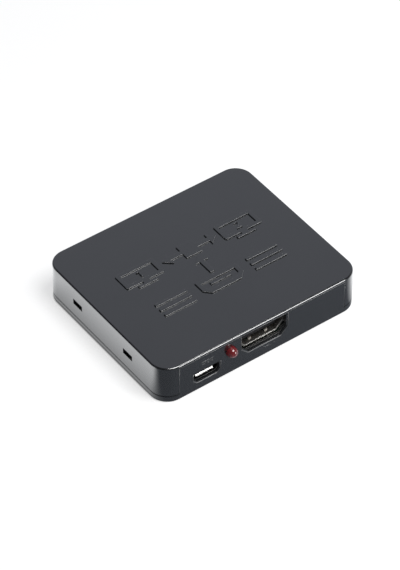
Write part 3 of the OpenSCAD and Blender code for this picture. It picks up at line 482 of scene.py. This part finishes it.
# Leads on a side of the chip, middle and size of their pads
LEADS, LEAD_Y, LEAD_PAD = 16, 5.75, (0.28, 1.1)


def circle(x, y, radius, sides=12):
    return [(x + radius * math.cos(2 * math.pi * k / sides), y + radius * math.sin(2 * math.pi * k / sides))
            for k in range(sides)]


def row(index):
    """Place of one of the resistors behind a socket, across from the socket's middle."""
    return (index - (SIGNALS - 1) / 2) * PART_PITCH


def signal_tracks():
    """Tracks from the chip to the resistors behind the sockets."""
    tracks = []
    for i in range(SIGNALS):
        start, end = CHIP_X + row(i), CHIP_X - 7.5 * LEAD_PITCH + 2 * i * LEAD_PITCH
        tracks.append([(start, -9.1), (start, -8.8), (end, abs(end - start) - 8.8), (end, -6.1)])
        for side in (-1, 1):
            lead, part = CHIP_X + side * (i + 0.5) * LEAD_PITCH, side * (OUTPUT_X + row(i))
            level = 8.56 - 0.28 * i
            tracks.append([(lead, 6.1), (lead, level - 0.15), (lead + side * 0.15, level),
                           (part - side * 0.15, level), (part, level + 0.15), (part, 9.1)])
    tracks += [[(-9.95, 1.12), (-8.5, 1.12), (-8.37, 1.25), (-5.6, 1.25)],
               [(-9.95, 3.65), (-8.5, 3.65), (-8.4, 3.75), (-5.6, 3.75)],
               [(6.5, -3.75), (11, -3.75)], [(6.5, -1.25), (8.6, -1.25), (10.2, -2.85), (11, -2.85)]]
    return [[stroke(track, SIGNAL_WIDTH)] for track in tracks]


def power_tracks():
    """Wide tracks from the inlet over the regulators to the chip."""
    tracks = [[(-19.5, -16.8), (-22, -16.8), (-22, -13.4)], [(-16.4, -16.8), (-15, -16.8)],
              [(-19.2, -10.05), (-17.6, -10.05), (-17.6, -1.05), (-19.2, -1.05)],
              [(-17, -6.4), (-8.6, -6.4), (-7.2, -5)]]
    return [[stroke(track, POWER_WIDTH)] for track in tracks]


def part_pads():
    """Tinned pads under the chips' leads and the small parts' ends."""
    pads = []
    for i in range(SIGNALS):
        for x, y in ((CHIP_X, -PART_Y), (OUTPUT_X, PART_Y), (-OUTPUT_X, PART_Y)):
            pads += [bar(x + row(i), y + end * PAD_Y, *PAD_SIZE) for end in (-1, 1)]
    for x in CAPACITOR_X:
        pads += [bar(x, k * CAPACITOR_PITCH + end * PAD_Y, *PAD_SIZE)
                 for k in range(-2, 3) for end in (-1, 1)]
    for k in range(LEADS):
        along = (k - (LEADS - 1) / 2) * LEAD_PITCH
        for side in (-1, 1):
            pads += [bar(CHIP_X + along, side * LEAD_Y, *LEAD_PAD),
                     bar(CHIP_X + side * LEAD_Y, along, *LEAD_PAD[::-1])]
    vias = [(x, y) for y in (-8.6, 2.2, 4.4) for x in (10.5, 13.2, 15.9, 18.6, 21.3, 24)]
    vias += [(x, 7.2) for x in (-25, -23.4, -21.8, 21.8, 23.4, 25)] + [(-25.6, y) for y in (-14.2, -5.5, 3.4)]
    return [[pad] for pad in pads] + [ring(circle(x, y, 0.36), 0.18) for x, y in vias]


def board_print():
    """White outlines of the parts, corner dot of the chip and the outputs' numbers."""
    outlines = [bar(CHIP_X, 0, 13.4, 13.4), bar(-12.99, 3.02, 6.7, 5.7), bar(-22, -10.05, 6.3, 7.3),
                bar(-22, -1.05, 6.3, 7.3), bar(16.51, -4.02, 12.3, 5.7), bar(-11.88, -15.55, 7.1, 4.4),
                bar(-17.98, -16.8, 4.1, 2.4)]
    shapes = [ring(outline, LINE_WIDTH) for outline in outlines] + [[circle(-6.9, -6.9, 0.32)]]
    for x, way in ((CHIP_X, 1), (OUTPUT_X, -1), (-OUTPUT_X, -1)):
        edge = [(x - 7.9, way * -14.5), (x - 7.9, way * -11.6),
                (x + 7.9, way * -11.6), (x + 7.9, way * -14.5)]
        shapes.append([stroke(edge, LINE_WIDTH)])
    return shapes + [[shifted(digit(1), OUTPUT_X + 9.4, 13.2, 2)],
                     [shifted(digit(2), -OUTPUT_X - 9.4, 13.2, 2)]]


def board_marks():
    """Tracks, pads and print on the board, and the dots on the two chips."""
    place = (0, 0, BOARD_TOP)
    raised("board_tracks", signal_tracks() + power_tracks(), "base", TOP_FACE, place, TRACK_HEIGHT,
           finish=(TRACK,), sink=BOARD_SINK)
    raised("board_pads", part_pads(), "base", TOP_FACE, place, PAD_HEIGHT,
           finish=(MATERIALS["solder"],), sink=BOARD_SINK)
    raised("board_print", board_print(), "base", TOP_FACE, place, PRINT_HEIGHT,
           finish=(INK,), sink=BOARD_SINK)
    dots = [ring(circle(-3.5, -4, 0.55), 0.14), ring(circle(-14.3, 4.75, 0.34), 0.1)]
    raised("chip_dots", dots, "base", TOP_FACE, (0, 0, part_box("splitter_chip")[1].z), DOT_HEIGHT,
           finish=(MATERIALS["resistor_glaze"],), sink=BOARD_SINK)


# Formed tips of the sockets' spring fingers

# Section of a tip: depth behind the mouth and height above the shell's floor, in millimetres
TIP_SECTION = (
    (1.05, 0.02), (1.15, 0.2), (1.3, 0.42), (1.5, 0.56), (1.75, 0.6), (2.05, 0.54), (2.5, 0.42),
    (2.9, 0.33), (3.2, 0.24), (3.2, 0.08), (2.9, 0.17), (2.5, 0.26), (2.05, 0.36), (1.77, 0.41),
    (1.58, 0.38), (1.42, 0.28), (1.3, 0.13), (1.22, 0.0))
# Distance of the tips from the socket's middle, their width, share by which their ends shrink
TIP_X, TIP_WIDTH, TIP_EDGE = 2.6, 1.1, 0.08
SHELL_FLOOR = BOARD_TOP + 1.05 * MM


def mouth_place(shell, way):
    """Middle of a video socket's mouth on the shell's floor; way is the direction into the mouth."""
    low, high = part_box(shell)
    return Vector(((low.x + high.x) / 2, low.y if way > 0 else high.y, SHELL_FLOOR))


def tube(made, rows):
    """Closes rows of vertices to a tube with flat ends; returns the faces along it, run by run."""
    runs = [[made.faces.new((near[k - 1], near[k], far[k], far[k - 1])) for k in range(len(near))]
            for near, far in zip(rows, rows[1:])]
    made.faces.new(rows[0])
    made.faces.new(rows[-1])
    return runs


def spring_tips(name, shell, way):
    """Bent tips on the two lower spring fingers of a video socket."""
    mouth = mouth_place(shell, way)
    mid = [sum(p[k] for p in TIP_SECTION) / len(TIP_SECTION) for k in (0, 1)]
    made = bmesh.new()
    for side in (-1, 1):
        rows = []
        for x, shrink in ((-0.5, TIP_EDGE), (TIP_EDGE - 0.5, 0), (0.5 - TIP_EDGE, 0), (0.5, TIP_EDGE)):
            across = side * TIP_X + x * TIP_WIDTH
            section = [(d + shrink * (mid[0] - d), h + shrink * (mid[1] - h)) for d, h in TIP_SECTION]
            rows.append([made.verts.new(mouth + Vector((across, way * d, h)) * MM) for d, h in section])
        tube(made, rows)
    bmesh.ops.recalc_face_normals(made, faces=made.faces[:])
    add_piece(name, made, (SPRING_STEEL,), "base")


# Round edges: rolled rims of the sockets' mouths, and moulded edges of the panels in paler plastic as painted
# highlight

# Halves of the edges' paths: across from the middle and up, in millimetres
RIM_PATH = ((4.976, 0), (7.0, 2.024), (7.0, 2.4))
VIDEO_WAY_PATH = ((5.3, 4.05), (7.5, 6.25), (7.5, 10.9))
POWER_WAY_PATH = ((3.17, 2.75), (4.3, 3.88), (4.3, 6.25))
VIDEO_WAY_INNER = ((5.176, 4.35), (7.2, 6.374), (7.2, 10.9))
POWER_WAY_INNER = ((3.05, 3.05), (4.0, 4.0), (4.0, 6.25))
# Whole path of the power socket's lip
POWER_LIP_PATH = Vector((-2.75, 3.69)), Vector((2.75, 3.69))
# Radius, sink and depth of each kind of edge, in millimetres
RIM_SIZE, OPENING_SIZE, LINE_SIZE = (0.18, 0.07, 0.2), (0.15, 0.08, 0.08), (0.5, 0.46, 0.95)
TOP_SIZE, SIDE_SIZE, POWER_LIP_SIZE = (0.16, 0.13, 0.1), (0.1, 0.06, 0.06), (0.15, 0.0, 1.13)
# Sides of an edge's section, and the slope up to which a run counts as level
BEAD_SIDES, LEVEL = 12, 0.01
# Faces of the panels by the direction into them, and the finishes of the openings' edges, paler as painted
# highlight
PANEL_FACES, OPENING_FINISH = {1: FRONT_Y, -1: REAR_Y}, (PALE_EDGE_PAINTED_HIGHLIGHT, EDGE_PAINTED_HIGHLIGHT, DIM_EDGE_PAINTED_HIGHLIGHT)


def mirrored(half):
    """A path over the middle, from the left end to the right one."""
    return [Vector((-x, z)) for x, z in reversed(half)] + [Vector(p) for p in half]


def bead(name, body, path, origin, way, size, finish):
    """Round edge along an open path on a face that looks against way; size is its radius, sink and depth.

    The first material is for level runs, the second for falling slants and the last for other runs."""
    radius, sink, depth = size
    turns = [2 * math.pi * k / BEAD_SIDES for k in range(BEAD_SIDES)]
    made = bmesh.new()
    rows = []
    for here, step in zip(path, left_steps(path)):
        places = [here - step * (sink + radius * math.cos(a)) for a in turns]
        inward = [way * (depth + radius * math.sin(a)) for a in turns]
        rows.append([made.verts.new(origin + Vector((p.x, y, p.y)) * MM) for p, y in zip(places, inward)])
    for run, sides in zip(directions(path), tube(made, rows)):
        # With the panels' finishes, level runs are palest and other runs dimmer: painted highlight
        kind = 0 if abs(run.y) < LEVEL else 1 if run.x > LEVEL and run.y < 0 else 2
        for side in sides:
            side.smooth = True
            side.material_index = min(kind, len(finish) - 1)
    bmesh.ops.recalc_face_normals(made, faces=made.faces[:])
    add_piece(name, made, finish, body)


def mid_x(node):
    low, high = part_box(node)
    return (low.x + high.x) / 2


def case_bead(name, path, x, way, size, finish=(EDGE_PAINTED_HIGHLIGHT,), body="base"):
    """Round edge of the case on its front or rear face, along a path about x."""
    bead(name, body, path, Vector((x, PANEL_FACES[way], 0)), way, size, finish)


def opening_edges(shell, way, path, inner):
    """Edge of a socket's opening, and the dim line inside it, both in paler plastic as painted highlight."""
    name, x = shell.replace("shell", "opening"), mid_x(shell)
    case_bead(name + "_edge", mirrored(path), x, way, OPENING_SIZE, OPENING_FINISH)
    case_bead(name + "_line", mirrored(inner), x, way, LINE_SIZE, (DIM_EDGE_PAINTED_HIGHLIGHT,))


def panel_edges(way):
    """Side edges of a panel, its upper edge, and the lip's edge over its openings, in paler plastic as
    painted highlight.
    """
    where = "front" if way > 0 else "rear"
    ends = {"left": ((-PANEL_HALF, PANEL_LOW), (-PANEL_HALF, PANEL_TOP)),
            "right": ((PANEL_HALF, PANEL_TOP), (PANEL_HALF, PANEL_LOW))}
    for end, line in ends.items():
        case_bead(f"{where}_panel_{end}_edge", [Vector(p) for p in line], 0, way, SIDE_SIZE)
    middles = sorted(mid_x(shell) / MM for shell, its_way in VIDEO_SHELLS if its_way == way)
    marks = [-PANEL_HALF, *(m + s * OPENING_HALF for m in middles for s in (-1, 1)), PANEL_HALF]
    for i, (start, end) in enumerate(zip(marks, marks[1:])):
        if i % 2 == 0:
            line = [Vector((x, PANEL_TOP)) for x in (end, start)]
            case_bead(f"{where}_panel_edge_{i}", line, 0, way, TOP_SIZE)
        else:
            line = [Vector((x, PANEL_TOP + LIP_STEP)) for x in (start, end)]
            case_bead(f"{where}_lip_edge_{i}", line, 0, way, TOP_SIZE, body="cover")


def round_edges():
    """Rims of the video mouths; edges of all openings, of the panels and of the lips, the plastic ones pale
    as painted highlight; a dark trim along the power socket's lip.
    """
    for shell, way in VIDEO_SHELLS:
        bead(shell.replace("shell", "mouth_rim"), "base", mirrored(RIM_PATH), mouth_place(shell, way), way,
             RIM_SIZE, (RIM_STEEL,))
        opening_edges(shell, way, VIDEO_WAY_PATH, VIDEO_WAY_INNER)
    opening_edges("power_shell", 1, POWER_WAY_PATH, POWER_WAY_INNER)
    place = Vector((mid_x("power_shell"), FRONT_Y, 0))
    # Dark trim along the lip's lower edge, which cuts its bright band short
    bead("power_lip_edge", "base", POWER_LIP_PATH, place, 1, POWER_LIP_SIZE, (DARK_LIP_TRIM,))
    for way in PANEL_FACES:
        panel_edges(way)


# Studio

# Floor as the camera sees it: half its side, drop below the case, own glow, share that takes the shadow
FLOOR_HALF, FLOOR_DROP, FLOOR_GLOW, FLOOR_LIT = 1.5, 0.02 * MM, 0.66, 0.8
# Floor in reflections, painted shade: level beside the case, darker, and away from it, over a distance
PAINTED_NEAR_SHADE_LEVELS, NEAR_REACH = (0.52, 1.2), 7.5 * MM
# Floor in reflections, painted shade: dark colour in front of the case, levels at its left and right ends,
# depth of the change
PAINTED_FRONT_SHADE_COLOR, FRONT_TILT, FRONT_REACH = (0.12, 0.13, 0.148, 1), (0.9, 1.15), 10 * MM
# Floor in reflections: colour elsewhere; floor in diffuse light
SIDE_COLOR, BOUNCE = (0.985, 1.0, 1.02, 1), 0.8
# Turn about the right front corner, from the front to the right, over which the painted shade in front gives
# way to pale floor
RIGHT_TURN = math.radians(35), math.radians(75)
# Painted contact shadow: a dark line where the case meets the floor, in reflections and to the camera
PAINTED_CONTACT_LEVEL, PAINTED_CONTACT_SPAN = 0.3, (0.1 * MM, 0.65 * MM)
PAINTED_FOOT_SHADOW_LEVELS, PAINTED_FOOT_SHADOW_SPAN = (0.1, FLOOR_GLOW), (-0.4 * MM, 0.25 * MM)
# World: dark to the front left, pale to the back right of this direction
WORLD_COLOR = (0.965, 1.005, 1.125, 1)
WORLD_WAY, WORLD_SPAN, WORLD_LEVELS = Vector((0.62, 0.68, 0.4)).normalized(), (0.45, 0.9), (0.025, 0.238)
# World: faint lift towards the rear horizon, across the direction that the cover's top reflects
LIFT_WAY, LIFT_SPAN, WORLD_LIFT = Vector((0.31, 0.63, -0.712)), (-0.07, 0.07), 0.05
# Softboxes: name, direction, distance, width and height, radiance
SOFTBOXES = (
    ("key_softbox", (0.43, -0.88, 0.22), 0.6, (0.13, 0.26), 6.7),
    ("top_softbox", (0.14, -0.35, 0.93), 0.6, (0.3, 0.3), 5.9),
)
# Camera: azimuth and elevation, distance, point that it looks at
AZIMUTH, ELEVATION = math.radians(-36.323), math.radians(44.136)
DISTANCE, TARGET = 0.7908, Vector((0, 0, 6.92 * MM))
# Camera: focal length, shift and longer side of the image in pixels; sensor in millimetres; clipping
FOCAL_PX, OFFSET_PX, LONG_SIDE_PX = 3014.6, (2.35, -6.1), 570
SENSOR, CLIP = 36.0, (0.01, 10.0)


def seen_straight(tree):
    """1 for rays from the camera, also through clear parts, and 0 for others."""
    path = put(tree, "LightPath").outputs
    return math_node(tree, "MAXIMUM", path["Is Camera Ray"], path["Is Transmission Ray"])


def outline_distance(tree, place):
    """Distance of a point of the floor from the case's rounded outline, negative below the case."""
    reach = []
    for axis, half in (("X", CASE_HIGH.x), ("Y", REAR_Y)):
        beyond = math_node(tree, "SUBTRACT", math_node(tree, "ABSOLUTE", place[axis]), half - CORNER)
        reach.append(math_node(tree, "POWER", math_node(tree, "MAXIMUM", beyond, 0.0), 2.0))
    return math_node(tree, "SUBTRACT", math_node(tree, "SQRT", math_node(tree, "ADD", *reach)), CORNER)


def between(tree, share, low, high):
    """Value between two others, which are numbers or sockets, by a share."""
    return put(tree, "MapRange", {"Value": share, "To Min": low, "To Max": high}).outputs["Result"]


def floor_material():
    """Pale floor: white to the camera with a soft shadow and a painted contact shadow at the case's foot; in
    reflections painted shade, dimmer by the case and in front.
    """
    mat = bpy.data.materials.new("floor_white")
    mat.use_nodes = True
    tree = mat.node_tree
    tree.nodes.clear()
    place = put(tree, "SeparateXYZ", {"Vector": put(tree, "NewGeometry").outputs["Position"]}).outputs
    outside = outline_distance(tree, place)
    rear = put(tree, "MapRange", {
        "Value": place["Y"], "From Min": FRONT_Y, "From Max": FRONT_Y + FRONT_REACH},
        interpolation_type="SMOOTHSTEP").outputs["Result"]
    turn = math_node(tree, "ARCTAN2", math_node(tree, "SUBTRACT", place["X"], CASE_HIGH.x - CORNER),
                     math_node(tree, "SUBTRACT", FRONT_Y + CORNER, place["Y"]))
    open_floor = math_node(tree, "MAXIMUM", rear, spread(tree, turn, 0, 1, *RIGHT_TURN))
    # Painted contact shadow: the camera's floor glow falls off at the case's foot, except in front
    foot = spread(tree, outside, *PAINTED_FOOT_SHADOW_LEVELS, *PAINTED_FOOT_SHADOW_SPAN)
    glow = put(tree, "Emission", {"Color": grey(1.0), "Strength": between(tree, rear, FLOOR_GLOW, foot)})
    lit = put(tree, "BsdfDiffuse", {"Color": grey(FLOOR_LIT)})
    seen = put(tree, "AddShader", {0: glow.outputs[0], 1: lit.outputs[0]})
    # Painted shade in reflections: darker at the contact line and beside the case
    painted_contact_shadow = spread(tree, outside, PAINTED_CONTACT_LEVEL, 1.0, *PAINTED_CONTACT_SPAN)
    away = math_node(tree, "MULTIPLY", painted_contact_shadow, spread(tree, outside, *PAINTED_NEAR_SHADE_LEVELS, 0.0, NEAR_REACH))
    # Painted shade in reflections: the floor in front of the case is dark, a little brighter to the right
    front = spread(tree, place["X"], *FRONT_TILT, CASE_LOW.x, CASE_HIGH.x)
    reflected = put(tree, "Emission", {
        "Color": blended(tree, open_floor, PAINTED_FRONT_SHADE_COLOR, SIDE_COLOR),
        "Strength": between(tree, open_floor, front, away)})
    bounced = put(tree, "BsdfDiffuse", {"Color": grey(BOUNCE)})
    glossy = put(tree, "LightPath").outputs["Is Glossy Ray"]
    by_gloss = put(tree, "MixShader", {0: glossy, 1: bounced.outputs[0], 2: reflected.outputs[0]})
    by_camera = put(tree, "MixShader", {0: seen_straight(tree), 1: by_gloss.outputs[0], 2: seen.outputs[0]})
    put(tree, "OutputMaterial", {"Surface": by_camera.outputs[0]})
    return mat


def make_floor():
    mesh = bpy.data.meshes.new("floor")
    mesh.from_pydata([(x, y, 0) for x, y in bar(0, 0, 2 * FLOOR_HALF, 2 * FLOOR_HALF)], [], [(0, 1, 2, 3)])
    floor = bpy.data.objects.new("floor", mesh)
    floor.location.z = -FLOOR_DROP
    mesh.materials.append(floor_material())
    bpy.context.scene.collection.objects.link(floor)


def make_world():
    """White to the camera; a soft gradient, brighter to the upper right, to everything else."""
    world = bpy.data.worlds.new("studio")
    bpy.context.scene.world = world
    world.use_nodes = True
    tree = world.node_tree
    tree.nodes.clear()
    way = put(tree, "TexCoord").outputs["Generated"]
    level = spread(tree, dotted(tree, way, WORLD_WAY), *WORLD_LEVELS, *WORLD_SPAN)
    lift = spread(tree, dotted(tree, way, LIFT_WAY), -WORLD_LIFT, WORLD_LIFT, *LIFT_SPAN)
    level = math_node(tree, "MAXIMUM", math_node(tree, "ADD", level, lift), WORLD_LEVELS[0])
    dim = put(tree, "Background", {"Color": WORLD_COLOR, "Strength": level})
    white = put(tree, "Background", {"Color": grey(1.0), "Strength": 1.0})
    mixed = put(tree, "MixShader", {0: seen_straight(tree), 1: dim.outputs[0], 2: white.outputs[0]})
    put(tree, "OutputWorld", {"Surface": mixed.outputs[0]})


def add_lamp(name, toward, distance, size, radiance):
    """Softbox of a width and height that looks at the object from a direction, with the given radiance."""
    lamp = bpy.data.lights.new(name, "AREA")
    lamp.shape = "RECTANGLE"
    lamp.size, lamp.size_y = size
    lamp.energy = radiance * math.pi * lamp.size * lamp.size_y
    obj = bpy.data.objects.new(name, lamp)
    way = Vector(toward).normalized()
    obj.location = way * distance
    obj.rotation_mode = "QUATERNION"
    obj.rotation_quaternion = way.to_track_quat("Z", "Y")
    bpy.context.scene.collection.objects.link(obj)


def make_camera():
    """Camera at the photograph's place."""
    level = math.cos(ELEVATION)
    back = Vector((math.sin(AZIMUTH) * level, -math.cos(AZIMUTH) * level, math.sin(ELEVATION)))
    right = Vector((math.cos(AZIMUTH), math.sin(AZIMUTH), 0))
    up = back.cross(right)
    across, upward = (offset / FOCAL_PX * DISTANCE for offset in OFFSET_PX)
    data = bpy.data.cameras.new("camera")
    data.sensor_width = SENSOR
    data.lens = FOCAL_PX * SENSOR / LONG_SIDE_PX
    data.clip_start, data.clip_end = CLIP
    cam = bpy.data.objects.new("camera", data)
    cam.location = TARGET - right * across + up * upward + back * DISTANCE
    cam.rotation_mode = "QUATERNION"
    cam.rotation_quaternion = back.to_track_quat("Z", "Y")
    bpy.context.scene.collection.objects.link(cam)
    bpy.context.scene.camera = cam


dress_nodes()
top_relief()
panel_marks()
board_marks()
for shell, way in VIDEO_SHELLS:
    spring_tips(shell.replace("shell", "spring_tips"), shell, way)
round_edges()
make_floor()
make_world()
for softbox in SOFTBOXES:
    add_lamp(*softbox)
make_camera()
bpy.context.scene.view_settings.view_transform = "Standard"
